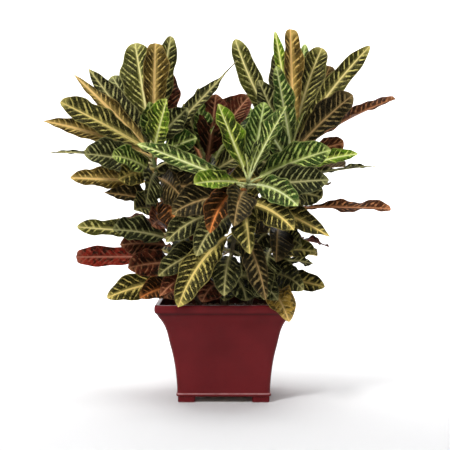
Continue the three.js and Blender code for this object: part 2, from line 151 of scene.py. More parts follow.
# Leaves that the photograph shows, stem by stem: place on it in hundredths, the tip's column and row
# in the photograph and its depth y, then the leaf's width, arch, turn in degrees, slenderness in
# tenths (from 0 blunt to 10 slender, and beyond) and colouring.
SEEN_LEAVES = {"left": [
    (98, 135, 43, 66, 66, 0, 24, 5.5, "olive"), (99, 155, 43, -14, 44, 0, 190, -5, "gold"),
    (98.5, 171, 36, 26, 34, 2, 84, 1, "olive"), (95, 170, 72, 36, 50, 2, 50, 6, "wine"),
    (96, 88, 68, 28, 46, 0, 64, 16, "deep"), (95.5, 72, 73, 0, 32, 2, 70, 20, "gold"),
    (97, 60, 102, -44, 46, 2, 74, 1, "gilt"), (95, 42, 121, -34, 40, 6, 66, 16, "gold"),
    (92, 48, 153, 30, 28, 6, 14, 22, "deep"), (90, 84, 154, -56, 54, 4, 76, 4, "deep"),
    (86, 112, 156, -90, 40, 8, 76, 6, "green"), (84, 70, 178, -45, 38, 0, 70, 8, "gold"),
    (93, 112, 76, 84, 56, 4, 38, 6, "deep"), (93, 97, 108, 68, 50, 0, 48, 5, "deep"),
    (97, 167, 99, -88, 46, 0, 130, 9, "lime"), (97, 149, 102, -44, 38, 4, 160, 8, "green"),
    (72, 103, 193, -50, 36, 4, 60, 18, "tan"), (66, 134, 210, -76, 54, 8, 62, 4, "deep"),
    (56, 77, 227, -30, 30, 0, 64, 1, "olive"), (52, 113, 230, -60, 46, 4, 66, 4, "deep"),
    (60, 152, 226, -98, 46, 10, 50, 6, "wine"), (42, 76, 257, -25, 34, 0, 76, -8, "red"),
    (37, 128, 268, -72, 46, 4, 66, 4, "wine"), (24, 107, 298, -60, 46, 8, 66, 8, "gilt"),
    (20, 140, 298, -100, 42, 8, 60, 6, "ember"), (76, 178, 230, -92, 46, 14, 50, 7, "ember"),
    (86, 186, 204, -100, 52, 8, 74, 8, "tan"), (52, 192, 262, -84, 48, 14, 55, 8, "deep"),
    (38, 182, 288, -84, 48, 14, 45, 8, "tan"), (90, 118, 180, -62, 46, 4, 66, 6, "gilt"),
    (88, 146, 204, -84, 52, 14, 60, 6, "deep"), (90, 198, 160, -18, 48, 8, 74, 8, "deep"),
    (80, 206, 190, -34, 54, 6, 72, 8, "tan"), (98.5, 188, 108, -30, 44, 4, 110, 9, "deep"),
    (48, 120, 245, -40, 42, 4, 70, 6, "wine"), (14, 164, 298, -92, 44, 10, 50, 8, "wine"),
    (97.5, 238, 60, -24, 30, 0, 76, 24, "deep"), (95, 197, 138, -26, 46, 2, 78, 8, "green"),
], "right": [
    (97, 235, 39, -12, 36, -8, 98, 1, "olive"), (98, 275, 31, 72, 22, 4, 18, 7, "lime"),
    (99, 290, 29, 10, 36, 0, 22, -3, "gold"), (92, 277, 53, 90, 50, 6, 12, 7, "deep"),
    (95, 276, 66, -50, 36, 2, 140, 9, "grey"), (93, 258, 80, -16, 44, 2, 100, 7, "deep"),
    (91, 305, 44, 112, 30, 4, 20, 6, "green"), (98.5, 322, 48, 52, 50, 8, 36, 4, "olive"),
    (93, 330, 66, 76, 60, 0, 28, 5, "tan"), (98, 370, 46, 0, 34, 7, 82, 5, "olive"),
    (96, 353, 95, -45, 48, 4, 92, 1, "tan"), (95, 396, 99, 48, 28, 9, 22, -8, "rust"),
    (90, 344, 143, 10, 40, 6, 110, 1, "rust"), (88, 358, 154, -20, 26, 4, 64, 8, "lime"),
    (84, 376, 166, 30, 22, 4, 12, 18, "deep"), (70, 391, 209, 0, 30, 2, 34, -5, "rust"),
    (50, 329, 247, 20, 22, 8, 14, 8, "red"), (44, 316, 252, -45, 34, 4, 56, 9, "olive"),
    (37, 313, 264, 20, 26, 4, 30, 8, "deep"), (28, 325, 287, -52, 34, 2, 66, 4, "gilt"),
    (52, 302, 246, -84, 50, 8, 64, 6, "deep"), (26, 304, 290, -92, 46, 14, 58, 6, "deep"),
    (90, 252, 110, -56, 48, 4, 104, 8, "grey"), (60, 276, 262, -108, 50, 14, 36, 8, "tan"),
    (82, 288, 222, -84, 52, 14, 40, 8, "deep"), (46, 264, 286, -66, 46, 14, 34, 8, "deep"),
    (86, 246, 158, -44, 54, 6, 90, 8, "deep"), (82, 228, 180, -36, 54, 4, 84, 7, "gilt"),
    (62, 240, 226, -56, 52, 8, 70, 8, "tan"), (56, 256, 244, -34, 50, 8, 70, 8, "deep"),
    (78, 322, 198, -40, 46, 4, 70, 5, "deep"), (12, 272, 299, -60, 44, 10, 40, 8, "deep"),
    (16, 289, 322, -134, 46, 24, 16, 5, "amber"),
], "front": [
    (68, 266, 300, -148, 38, 14, 46, 9, "tan"), (99, 218, 104, -96, 40, 0, 84, 10, "lime"),
    (98.5, 287, 106, -112, 40, 2, 72, 9, "grey"), (97.5, 264, 102, -54, 50, -2, 60, 8, "green"),
    (97, 331, 150, -92, 52, 4, 78, 7, "green"), (94, 329, 180, -130, 50, 2, 76, 7, "deep"),
    (96.5, 194, 184, -168, 34, 4, 60, 0, "lime"), (94, 137, 144, -95, 30, 2, 76, 7, "grey"),
    (88, 330, 237, -138, 38, 4, 60, 14, "gilt"), (93, 210, 233, -160, 44, 18, 26, 9, "ember"),
    (86, 172, 214, -140, 52, 12, 62, 8, "tan"), (91, 234, 226, -178, 48, 16, 34, 8, "tan"),
    (76, 166, 242, -122, 46, 16, 62, 9, "deep"), (84, 294, 230, -148, 46, 10, 64, 10, "gilt"),
    (96, 298, 206, -158, 42, 10, 64, 9, "grey"), (80, 250, 254, -160, 44, 18, 30, 10, "gilt"),
    (50, 264, 300, -112, 46, 16, 26, 9, "deep"), (64, 178, 307, -148, 50, 16, 46, 7, "gilt"),
    (76, 196, 256, -166, 42, 16, 44, 7, "deep"), (50, 158, 276, -132, 44, 14, 60, 9, "deep"),
    (48, 224, 296, -128, 48, 16, 12, 10, "deep"), (30, 278, 300, -104, 44, 14, 64, 8, "deep"),
    (34, 160, 296, -132, 40, 18, 54, 9, "wine"), (30, 246, 301, -84, 48, 12, 16, 7, "deep"),
    (22, 202, 302, -112, 48, 14, 30, 7, "wine"), (10, 224, 301, -92, 46, 12, 20, 8, "deep"),
], "back": [
    (99, 197, 100, 14, 36, 2, 130, 8, "green"), (98, 183, 104, 20, 42, 2, 100, 9, "deep"),
    (97, 198, 88, 50, 42, 2, 84, 10, "deep"), (94, 250, 96, 66, 58, 6, 56, 6, "wine"),
    (93, 216, 94, 28, 56, -2, 150, 6, "wine"), (87, 250, 106, 118, 50, 6, 34, 8, "green"),
    (90, 174, 112, 98, 48, 6, 34, 8, "rust"), (86, 264, 148, 30, 52, 6, 66, 8, "deep"),
    (84, 216, 176, -26, 52, 10, 66, 8, "deep"), (76, 180, 198, 4, 52, 6, 70, 8, "deep"),
    (78, 154, 172, 40, 54, 4, 74, 6, "deep"), (66, 262, 204, -22, 52, 6, 70, 8, "tan"),
    (58, 228, 234, -22, 50, 10, 40, 8, "tan"), (50, 186, 250, 0, 50, 8, 60, 8, "wine"),
    (44, 266, 262, -20, 50, 10, 60, 7, "deep"), (32, 200, 288, -16, 48, 10, 36, 8, "deep"),
    (24, 240, 290, -30, 48, 12, 28, 7, "deep"), (14, 266, 296, 50, 50, 8, 50, 7, "deep"),
    (14, 186, 296, 50, 50, 8, 50, 7, "wine"), (12, 226, 295, 84, 48, 10, 160, 7, "deep"),
]}

# Leaves that the photograph hides: stem, count, lowest and highest place on it, middle and half
# width of their fan and their lowest and highest rise, both in degrees, and length.
FILL_LEAVES = [
    ("left", 3, 0.7, 0.92, 118, 50, 18, 48, 150),
    ("left", 6, 0.26, 0.66, 112, 32, 0, 25, 145),
    ("right", 3, 0.7, 0.92, 74, 40, 18, 48, 150),
    ("right", 6, 0.26, 0.66, 80, 32, 0, 25, 145),
    ("back", 5, 0.74, 0.92, 90, 44, 20, 48, 128),
    ("back", 8, 0.16, 0.68, 90, 42, -8, 25, 128),
]
FILL_COLOURINGS = ["tan", "deep", "green", "rust", "olive", "gilt", "tan", "wine"]
FILL_STEP = 5
# What is drawn for them: rise, share of the length, width, arch and turn.
FILL_RISE = 14
FILL_REACH = (0.86, 0.28)
FILL_WIDTH = (36, 10)
FILL_ARCH = (10, 10)
FILL_TURN = 30
SEED = 1057
LOOK_SEED = 4021

# Young leaves: the first one's lean, length and width, each with what the next ones add.
YOUNG_LEAVES = 4
YOUNG_LEAN = (0.16, 0.1)
YOUNG_LENGTH = (30, 9)
YOUNG_WIDTH = (6, 2.2)
YOUNG_WAVE = 0.4
YOUNG_PETIOLE = 5
YOUNG_SCALE = 0.5

# The share of a turn from one leaf to the next.
GOLDEN = 0.618034

# Where the photograph was taken from, for a leaf tip's place.
EYE = np.array([2.0, -1600.0, 330.0])
LOOK_AT = np.array([2.0, 0.0, 264.0])
HALF_FRAME = 225
FOCAL_PIXELS = 1028

# Leaf colours, as sRGB in hex: blade, its second colour, side veins, midrib and underside. Then how
# plainly the side veins show, how much of the blade keeps its first colour, and the midrib's breadth.
COLOURINGS = {
    "olive": ("3c3d13", "0f1006", "cac16f", "e1d491", "685a36", 0.86, 0.5, 1.2),
    "gold": ("544217", "181307", "d6b767", "edca82", "705430", 0.8, 0.5, 2),
    "lime": ("608419", "142a09", "dce56b", "e3e59e", "687040", 0.76, 0.52, 1.1),
    "rust": ("462413", "120a06", "bf8054", "ce8f67", "5a3424", 0.7, 0.5, 1),
    "ember": ("261b0c", "090805", "b9763f", "da8648", "4e301e", 0.8, 0.5, 1.4),
    "deep": ("121708", "050603", "aeaa6b", "c1b87f", "302a18", 0.86, 0.5, 1),
    "gilt": ("1c1f0a", "060803", "cab965", "e3cc7c", "463a20", 0.92, 0.5, 1.4),
    "tan": ("181309", "060603", "8f784a", "ac8b5a", "3e2e1e", 0.8, 0.5, 1),
    "green": ("1e3e0d", "060f04", "c5d674", "d2d893", "465030", 0.86, 0.55, 1.1),
    "wine": ("562619", "180c08", "9e6b4b", "b27c5d", "4e2c22", 0.7, 0.56, 1),
    "red": ("8c281b", "32120c", "935641", "b06f5a", "4e2420", 0.5, 0.56, 1),
    "amber": ("b08a38", "2c2810", "d8b569", "e3bd75", "785c32", 0.66, 0.72, 1.2),
    "grey": ("2a4c18", "091406", "ccda80", "d8dfa6", "545c42", 0.86, 0.5, 1),
}

# Side veins: how far apart, how far they run forward for each millimetre out, and how they bend.
VEIN_PITCH = 10.6
VEIN_LEAN = 0.9
VEIN_BEND = 0.006

# Rows of points along a blade, and the columns across it in shares of the half width.
STATIONS = 46
COLUMNS = [-1, -0.97, -0.84, -0.66, -0.46, -0.26, -0.12, 0, 0.12, 0.26, 0.46, 0.66, 0.84, 0.97, 1]
LEAVES_PER_PIECE = 6


def seeded_draws(seed):
    """Numbers from 0 to 1, the same ones each run."""
    factor, limit = 16807, 2147483647
    while True:
        seed = seed * factor % limit
        yield seed / limit


def drawn(draws, least, spread):
    return least + spread * next(draws)


def unit(v):
    return v / np.linalg.norm(v, axis=-1, keepdims=True)


def from_photo(column, row, y):
    """The point at depth y that the photograph shows at this column and row."""
    forward = unit(LOOK_AT - EYE)
    right = np.array([1.0, 0.0, 0.0])
    upward = np.cross(right, forward)
    ray = forward + right * ((column - HALF_FRAME) / FOCAL_PIXELS)
    ray = ray + upward * ((HALF_FRAME - row) / FOCAL_PIXELS)
    return EYE + ray * ((y - EYE[1]) / ray[1])


def bezier(path, share, heading=False):
    """The curve's points at shares of it, or the way it heads there."""
    p0, p1, p2, p3 = (np.asarray(p, float) for p in path)
    s = np.asarray(share, float)[..., None]
    r = 1 - s
    if heading:
        return unit(3 * r * r * (p1 - p0) + 6 * r * s * (p2 - p1) + 3 * s * s * (p3 - p2))
    return r**3 * p0 + 3 * r * r * s * p1 + 3 * r * s * s * p2 + s**3 * p3


# ---- what each leaf is like ----

def grow(draws, stem, at, tip, wide, arch, turn, slender, colouring):
    """One leaf, with its fold, waves and twist drawn."""
    return SimpleNamespace(
        stem=stem, at=at, base=bezier(STEMS[stem], at), tip=tip, wide=wide, arch=arch, turn=turn,
        slender=slender, colouring=colouring, petiole=PETIOLE, fold=drawn(draws, *FOLD),
        phase=2 * pi * next(draws), wave=drawn(draws, *WAVE), twist=TWIST * (next(draws) - 0.5))


def all_leaves():
    draws = seeded_draws(SEED)
    leaves = []
    for stem, rows in SEEN_LEAVES.items():
        for at, column, row, y, wide, arch, turn, slender, colouring in rows:
            tip = from_photo(column, row, y)
            leaves.append(grow(draws, stem, at / 100, tip, wide, arch, turn, slender / 10, colouring))
    for stem, count, low, high, middle, half, flat, steep, length in FILL_LEAVES:
        for k in range(count):
            share = (k + 0.5) / count
            at = low + (high - low) * share
            azimuth = radians(middle + half * (2 * ((k * GOLDEN) % 1) - 1))
            rise = radians(flat + (steep - flat) * share + FILL_RISE * (next(draws) - 0.5))
            reach = length * drawn(draws, *FILL_REACH)
            heading = np.array([cos(rise) * cos(azimuth), cos(rise) * sin(azimuth), sin(rise)])
            tip = bezier(STEMS[stem], at) + reach * heading
            wide = drawn(draws, *FILL_WIDTH)
            arch = drawn(draws, *FILL_ARCH)
            turn = FILL_TURN * (next(draws) - 0.5)
            slender = next(draws)
            colouring = FILL_COLOURINGS[FILL_STEP * len(leaves) % len(FILL_COLOURINGS)]
            leaves.append(grow(draws, stem, at, tip, wide, arch, turn, slender, colouring))
    return leaves


def young_leaves(stem, draws):
    """The small leaves that stand round the growing tip of a stem."""
    top = bezier(STEMS[stem], 1.0)
    leaves = []
    for k in range(YOUNG_LEAVES):
        azimuth = 2 * pi * (k * GOLDEN + next(draws) * 0.1)
        lean, length, wide = (a + b * k for a, b in (YOUNG_LEAN, YOUNG_LENGTH, YOUNG_WIDTH))
        heading = unit(np.array([lean * cos(azimuth), lean * sin(azimuth), 1.0]))
        leaf = grow(draws, stem, 1.0, top + heading * length, wide, 2, 0, 0.8, "lime")
        leaf.wave = YOUNG_WAVE
        leaf.petiole = YOUNG_PETIOLE
        leaves.append(leaf)
    return leaves


# ---- meshes ----

def place_in_scene(name, data):
    made = bpy.data.objects.new(name, data)
    bpy.context.scene.collection.objects.link(made)
    return made


class Skin:
    """Points, faces and values gathered for one mesh."""

    def __init__(self):
        self.points, self.faces, self.slots, self.places = [], [], [], []
        self.values = {}
        self.count = 0

    def add(self, points, faces, slots=0, places=(), **values):
        """slots is one material slot or one for each face, places are the faces' corners on the
        bake's image, and a value is one for all the points or one for each."""
        points = np.asarray(points, float).reshape(-1, 3)
        for name, value in values.items():
            value = np.broadcast_to(np.asarray(value, float), (len(points), np.shape(value)[-1]))
            self.values.setdefault(name, []).append(value)
        self.points.append(points)
        self.slots.extend(slots if isinstance(slots, list) else [slots] * len(faces))
        self.faces.extend([self.count + i for i in face] for face in faces)
        for corners in places:
            self.places.extend(corners)
        self.count += len(points)

    def build(self, name, materials, node, sharp=None):
        """The mesh as an object that rides on the part in place of a CAD node. sharp is the angle
        in degrees from which edges stay sharp, and points that lie together are then welded."""
        mesh = bpy.data.meshes.new(name)
        mesh.from_pydata((np.vstack(self.points) * MM).tolist(), [], self.faces)
        for material in materials:
            mesh.materials.append(material)
        mesh.polygons.foreach_set("material_index", self.slots)
        if self.places:
            layer = mesh.uv_layers.new(name="OFBake", do_init=False)
            layer.uv.foreach_set("vector", np.asarray(self.places, np.float32).ravel())
        for key, parts in self.values.items():
            whole = np.vstack(parts).astype(np.float32)
            kind, field = {3: ("FLOAT_VECTOR", "vector"), 4: ("FLOAT_COLOR", "color")}[whole.shape[1]]
            mesh.attributes.new(key, kind, "POINT").data.foreach_set(field, whole.ravel())
        mesh.shade_smooth()
        if sharp:
            mesh.set_sharp_from_angle(angle=radians(sharp))
        mesh.validate()
        piece = place_in_scene(name, mesh)
        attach(piece, "root")
        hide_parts(node)
        if sharp:
            piece.modifiers.new("one_skin", "WELD").merge_threshold = 1e-6
        return piece


def grid_faces(rows, columns, wrap=False, start=0, flip=False):
    """Quads over a grid of points, row by row; wrap joins the last column to the first."""
    index = start + np.arange(rows * columns).reshape(rows, columns)
    if wrap:
        index = np.hstack([index, index[:, :1]])
    corners = index[:-1, :-1], index[:-1, 1:], index[1:, 1:], index[1:, :-1]
    return np.stack(corners[::-1] if flip else corners, -1).reshape(-1, 4).tolist()


def end_faces(rows, sides):
    """The faces that close a tube's first and last ring."""
    return [list(range(sides))[::-1], [(rows - 1) * sides + k for k in range(sides)]]


def tube_faces(rows, sides):
    return grid_faces(rows, sides, wrap=True) + end_faces(rows, sides)


def circle(sides):
    return 2 * pi * np.arange(sides) / sides


def all_round(first, second, sides):
    """Directions all round a course, from the two that lie crosswise to it."""
    angle = circle(sides)[:, None]
    return first[:, None] * np.cos(angle) + second[:, None] * np.sin(angle)


def bell(x):
    return np.exp(-(x**2))


def spread(shape, *values):
    """The values side by side, for each point of a grid."""
    return np.stack([np.broadcast_to(value, shape) for value in values], -1).reshape(-1, len(values))


def linear(colour):
    """An sRGB colour in hex as linear values from 0 to 1."""
    c = np.array([*bytes.fromhex(colour)], float) / 255
    return np.where(c <= 0.04045, c / 12.92, ((c + 0.055) / 1.055) ** 2.4)


# ---- leaves ----

def blade_shape(u, slender):
    """Half width of a blade at shares u of its length, as a share of the greatest."""
    widest_at = BLUNT_WIDEST_AT + (SLENDER_WIDEST_AT - BLUNT_WIDEST_AT) * slender
    tip_shape = BASE_SHAPE * (1 - widest_at) / widest_at
    top = widest_at**BASE_SHAPE * (1 - widest_at) ** tip_shape
    return np.clip(u, 0, 1) ** BASE_SHAPE * (1 - np.clip(u, 0, 1)) ** tip_shape / top


def leaf_course(leaf, share):
    """The midrib's points, direction, and the natural upper side, at shares of its length."""
    chord = leaf.tip - leaf.base
    heading = unit(chord)
    lift = unit(np.array([0, 0, 1.0]) - heading[2] * heading)
    path = [
        leaf.base,
        leaf.base + 0.33 * chord + 1.4 * leaf.arch * lift,
        leaf.base + 0.7 * chord + 1.25 * leaf.arch * lift,
        leaf.tip,
    ]
    along = bezier(path, share, heading=True)
    natural = unit(lift - (along @ lift)[..., None] * along)
    roll = 1 if np.cross(heading, lift)[1] <= 0 else -1
    return bezier(path, share), along, natural, roll


def blade_grid(leaf, u, q, ripple):
    """Middle surface of the blade at shares u of its length and q of its half width, the way its
    upper face looks, the half width and the blade's length."""
    length = np.linalg.norm(leaf.tip - leaf.base)
    start = leaf.petiole / length
    middle, along, natural, roll = leaf_course(leaf, start + u * (1 - start))
    side = np.cross(along, natural)
    turn = np.radians(leaf.turn + leaf.twist * (u - 0.4))[:, None] * roll
    face = natural * np.cos(turn) + side * np.sin(turn)
    across = np.cross(along, face)
    half = leaf.wide / 2 * blade_shape(u, leaf.slender)
    half = half * (1 + SWELL * np.sin(2 * pi * SWELLS * u + 1.7 * leaf.phase))
    half = np.maximum(half, np.where(u > 0.5, 0.35, PETIOLE_HALF * 0.8))
    a = np.abs(q)[None, :]
    swell = np.sqrt(np.sin(pi * np.clip(u, 0, 1)))[:, None]
    phase = leaf.phase + np.where(q > 0, SIDE_PHASE, 0)[None, :]
    wave = leaf.wave * a**1.5 * np.sin(2 * pi * WAVES * u[:, None] + phase) * swell
    wave = wave + ripple * a**3 * np.sin(2 * pi * RIPPLES * u[:, None] + 2.3 * phase) * swell
    lift = leaf.fold * half[:, None] * a * (1 - 0.3 * a) + wave
    reach = q[None, :] * half[:, None] * (1 - 0.12 * leaf.fold * a)
    points = middle[:, None] + across[:, None] * reach[..., None] + face[:, None] * lift[..., None]
    return points, face, half, length - leaf.petiole


def leaf_look(leaf, draws):
    """A leaf's five tones, with its other traits in their alphas, how plainly its side veins show,
    and its seed. The alphas are the share of the blade's first colour, the side veins' breadth, the
    midrib's breadth and how far apart the side veins are."""
    *colours, plain, first_share, rib_breadth = COLOURINGS[leaf.colouring]
    shade = drawn(draws, 0.86, 0.28)
    warmth = drawn(draws, 0.94, 0.12)
    tint = shade * np.array([warmth, 1.0, 2 - warmth]) ** 0.8
    seed = next(draws)
    pitch = VEIN_PITCH * drawn(draws, 0.82, 0.36)
    plain = plain * drawn(draws, 0.85, 0.3)
    first_share = first_share + 0.2 * (next(draws) - 0.5)
    alphas = {"blade": 1.0, "second": first_share, "vein": drawn(draws, 0.66, 0.5),
              "rib": rib_breadth, "under": pitch}
    tones = {key: np.append(linear(colour) * tint, alpha)
             for (key, alpha), colour in zip(alphas.items(), colours)}
    return tones, plain, seed


def add_leaf(skin, leaf, strip, draws, scale):
    """The leaf's blade, as a closed skin with its midrib raised below, and its petiole. strip is
    the part of the bake's image that it gets: its left side and its width."""
    q = np.array(COLUMNS, float)
    t = np.linspace(0, 1, STATIONS)
    u = 0.55 * t + 0.45 * (0.5 - 0.5 * np.cos(pi * t))
    rows, columns = len(u), len(q)
    points, face, half, length = blade_grid(leaf, u, q, RIPPLE * scale)
    across = q[None, :] * half[:, None]
    rib_half = scale * (RIB_HALF - RIB_TAPER * u[:, None])
    rib = bell(across / rib_half)
    thick = MIDDLE_THICK * (1 - np.abs(q[None, :]) ** 1.5) * (1 - 0.5 * u[:, None])
    thick = scale * (EDGE_THICK + thick)
    groove = GROOVE * scale * bell(across / (0.7 * rib_half))
    up = face[:, None, :]
    upper = points + up * (thick / 2 - groove)[..., None]
    lower = points - up * (thick / 2 + rib * rib_half * RIB_DEPTH)[..., None]

    tones, plain, seed = leaf_look(leaf, draws)
    where = spread(across.shape, u[:, None] * length, across, q)
    traits = spread(across.shape, u[:, None], plain, seed)
    left, width = strip

    under = rows * columns
    faces, places = [], []
    for start, low, high in ((0, 0.02, 0.43), (under, 0.47, 0.88)):
        side = grid_faces(rows, columns, start=start, flip=start > 0)
        x = left + width * (low + (high - low) * (q + 1) / 2)
        corners = spread(across.shape, x, (0.008 + 0.984 * u)[:, None])
        faces += side
        places += corners[np.array(side) - start].tolist()
    slots = [0] * len(side)

    def close(a, b, spot, turned):
        """A face of the rim, from the upper side's points a and b to the lower side's."""
        quad = [a, b, under + b, under + a]
        faces.append(quad[::-1] if turned else quad)
        places.append(spot[::-1] if turned else spot)

    for column, share in ((0, 0.9), (columns - 1, 0.92)):
        low = left + width * share
        high = low + width * 0.01
        for r in range(rows - 1):
            a = r * columns + column
            spot = [(low, u[r]), (low, u[r + 1]), (high, u[r + 1]), (high, u[r])]
            close(a, a + columns, spot, column > 0)
    for row, y in ((0, 0.004), (rows - 1, 0.996)):
        for c in range(columns - 1):
            a = row * columns + c
            x0, x1 = (left + width * (0.94 + 0.02 * k / columns) for k in (c, c + 1))
            close(a, a + 1, [(x0, y), (x1, y), (x1, y + 0.002), (x0, y + 0.002)], row > 0)
    slots += [1] * (len(faces) - len(slots))
    skin.add(np.vstack([upper, lower]), faces, slots, places,
             leaf=np.tile(where, (2, 1)), trait=np.tile(traits, (2, 1)), **tones)
    add_petiole(skin, leaf, strip, tones, seed, scale)


def add_petiole(skin, leaf, strip, tones, seed, scale):
    """The petiole: a round stalk out of the stem that runs into the midrib below the blade."""
    length = np.linalg.norm(leaf.tip - leaf.base)
    run_on = min(0.3 * length, 1.6 * leaf.petiole)
    steps, sides = 12, 8
    share = np.linspace(0, (leaf.petiole + run_on) / length, steps)
    middle, along, natural, roll = leaf_course(leaf, share)
    turn = radians(leaf.turn - 0.4 * leaf.twist) * roll
    side = np.cross(along, natural)
    up = natural * cos(turn) + side * sin(turn)
    other = np.cross(along, up)
    grown = 1 - share / share[-1]
    radius = scale * (1.15 + 0.55 * grown + 1.3 * np.exp(-share * length / 4.5))
    radius[-1] *= 0.3
    sink = np.clip(share * length - leaf.petiole * 0.7, 0, None)
    drop = radius * 0.75 * np.minimum(1, sink / 8)
    ring = all_round(other, up, sides) * radius[:, None, None]
    points = middle[:, None] - up[:, None] * drop[:, None, None] + ring
    left, width = strip
    x = left + width * (0.965 + 0.03 * np.arange(sides + 1) / sides)
    y = 0.01 + 0.5 * np.arange(steps)[:, None] / steps
    places = spread((steps, sides + 1), x, y)[grid_faces(steps, sides + 1)].tolist()
    angle = circle(sides)
    end = [(left + width * 0.98 + width * 0.01 * cos(a), 0.56 + 0.004 * sin(a)) for a in angle]
    places.extend([end[::-1], end])
    where = spread((steps, sides), (share * length)[:, None], angle, grown[:, None])
    skin.add(points, tube_faces(steps, sides), 2, places, leaf=where, trait=(0, 0.5, seed), **tones)


# ---- materials ----

class Value:
    """A node's output. Adding, subtracting and multiplying put in the nodes that do so."""

    def __init__(self, graph, socket):
        self.graph, self.socket = graph, socket

    def __add__(self, other):
        return self.graph.math("ADD", self, other)

    def __sub__(self, other):
        return self.graph.math("SUBTRACT", self, other)

    def __rsub__(self, other):
        return self.graph.math("SUBTRACT", other, self)

    def __mul__(self, other):
        return self.graph.math("MULTIPLY", self, other)


class Graph:
    """A material's nodes. What goes into a node is a number, a linear colour or a Value."""

    def __init__(self, name):
        self.material = bpy.data.materials.new(name)
        self.material.use_nodes = True
        self.tree = self.material.node_tree
        self.tree.nodes.clear()
        self.output = self.tree.nodes.new("ShaderNodeOutputMaterial")

    def node(self, kind, inputs, **settings):
        made = self.tree.nodes.new("ShaderNode" + kind)
        for key, value in settings.items():
            setattr(made, key, value)
        for key, value in inputs.items():
            if isinstance(value, Value):
                self.tree.links.new(value.socket, made.inputs[key])
            elif value is not None:
                made.inputs[key].default_value = (*value, 1) if isinstance(value, tuple) else value
        return made

    def made(self, kind, output, inputs, **settings):
        """One output of a new node."""
        return Value(self, self.node(kind, inputs, **settings).outputs[output])

    def math(self, operation, *values):
        return self.made("Math", 0, dict(enumerate(values)), operation=operation)

    def attribute(self, name, output="Color"):
        return self.made("Attribute", output, {}, attribute_name=name)

    def place(self):
        """Where a point is on the part, in metres."""
        return self.made("TexCoord", "Object", {})

    def split(self, vector):
        return [Value(self, s) for s in self.node("SeparateXYZ", {"Vector": vector}).outputs]

    def join(self, x, y, z):
        return self.made("CombineXYZ", 0, {"X": x, "Y": y, "Z": z})

    def coat(self, share, colour):
        """Lays a share of a colour over the material's colour so far."""
        self.colour = self.mix(share, self.colour, colour)

    def mix(self, share, a, b):
        """Colour a, with a share of colour b. A Mix node's colours are inputs 6 and 7, output 2."""
        return self.made("Mix", 2, {0: share, 6: a, 7: b}, data_type="RGBA")

    def span(self, value, low, high, to_low=0.0, to_high=1.0, smooth=True):
        """A value from low to high carried onto to_low to to_high, and held at them beyond."""
        return self.made("MapRange", "Result", {
            "Value": value, "From Min": low, "From Max": high, "To Min": to_low, "To Max": to_high},
            interpolation_type="SMOOTHSTEP" if smooth else "LINEAR")

    def noise(self, where, scale, detail=2.0, roughness=0.5):
        return self.made("TexNoise", "Fac", {
            "Vector": where, "Scale": scale, "Detail": detail, "Roughness": roughness})

    def cells(self, where, scale, feature="F1"):
        return self.made("TexVoronoi", "Distance", {"Vector": where, "Scale": scale}, feature=feature)

    def finish(self, rough, specular, *relief):
        """The material; relief is the height, distance and strength of its bumps."""
        bumps = dict(zip(("Height", "Distance", "Strength"), relief))
        shader = self.node("BsdfPrincipled", {
            "Base Color": self.colour, "Roughness": rough, "Specular IOR Level": specular,
            "Normal": self.made("Bump", 0, bumps) if bumps else None})
        self.tree.links.new(shader.outputs[0], self.output.inputs["Surface"])
        return self.material


def leaf_veins(g):
    """Masks of the midrib, the side veins with the soft band round them, the fine net and the
    edge, and the leaf's own coordinates."""
    along, across, q = g.split(g.attribute("leaf", "Vector"))
    u, strength, seed = g.split(g.attribute("trait", "Vector"))
    pitch = g.attribute("under", "Alpha")
    where = g.join(along, across, seed * 400)
    wobble = (g.noise(where, 0.09, 3, 0.6) - 0.5) * 8
    out = g.math("ABSOLUTE", across)
    lean = out * g.math("MULTIPLY_ADD", out, VEIN_BEND, VEIN_LEAN)
    forward = along - lean + wobble
    side = g.math("SIGN", across) * 0.22
    phase = g.math("DIVIDE", forward, pitch) + (side + seed)

    # Each side vein has its own chance number, which moves it a little and sets its breadth.
    chance = g.made("TexWhiteNoise", "Value", {"Vector": g.join(g.math("FLOOR", phase), side, seed)})
    nudge = g.math("MULTIPLY_ADD", chance, 0.3, -0.65)
    off = g.math("ABSOLUTE", g.math("FRACT", phase) + nudge) * pitch
    edge = g.math("ABSOLUTE", q)
    own = g.span(chance, 0, 1, 0.4, 1.15, smooth=False) * g.attribute("vein", "Alpha")
    vein_half = g.math("MULTIPLY_ADD", edge, -1, 2.8) * own
    veins = g.span(off, vein_half, vein_half * 0.5)
    between = g.span(g.math("ABSOLUTE", off - pitch * 0.5), 0.55, 0.1)
    between = between * g.span(g.noise(where, 0.12), 0.45, 0.6, 0, 0.6)
    band = g.span(off, 3.4, 0.6) * (own * g.span(edge, 0.9, 0.1, 0.1, 1))

    rib_half = g.math("MULTIPLY_ADD", u, -1.5, 2.15) * g.attribute("rib", "Alpha")
    rib = g.span(out, rib_half, rib_half * 0.65)
    rib_band = g.span(out, rib_half * 3.4, rib_half)
    net = g.span(g.cells(where, 0.3, "DISTANCE_TO_EDGE"), 0.1, 0.02)
    margin = g.span(edge, 0.9, 0.97)
    return SimpleNamespace(where=where, u=u, strength=strength, veins=veins, between=between, band=band,
                           rib=rib, rib_band=rib_band, net=net, margin=margin, off=off, edge=edge)


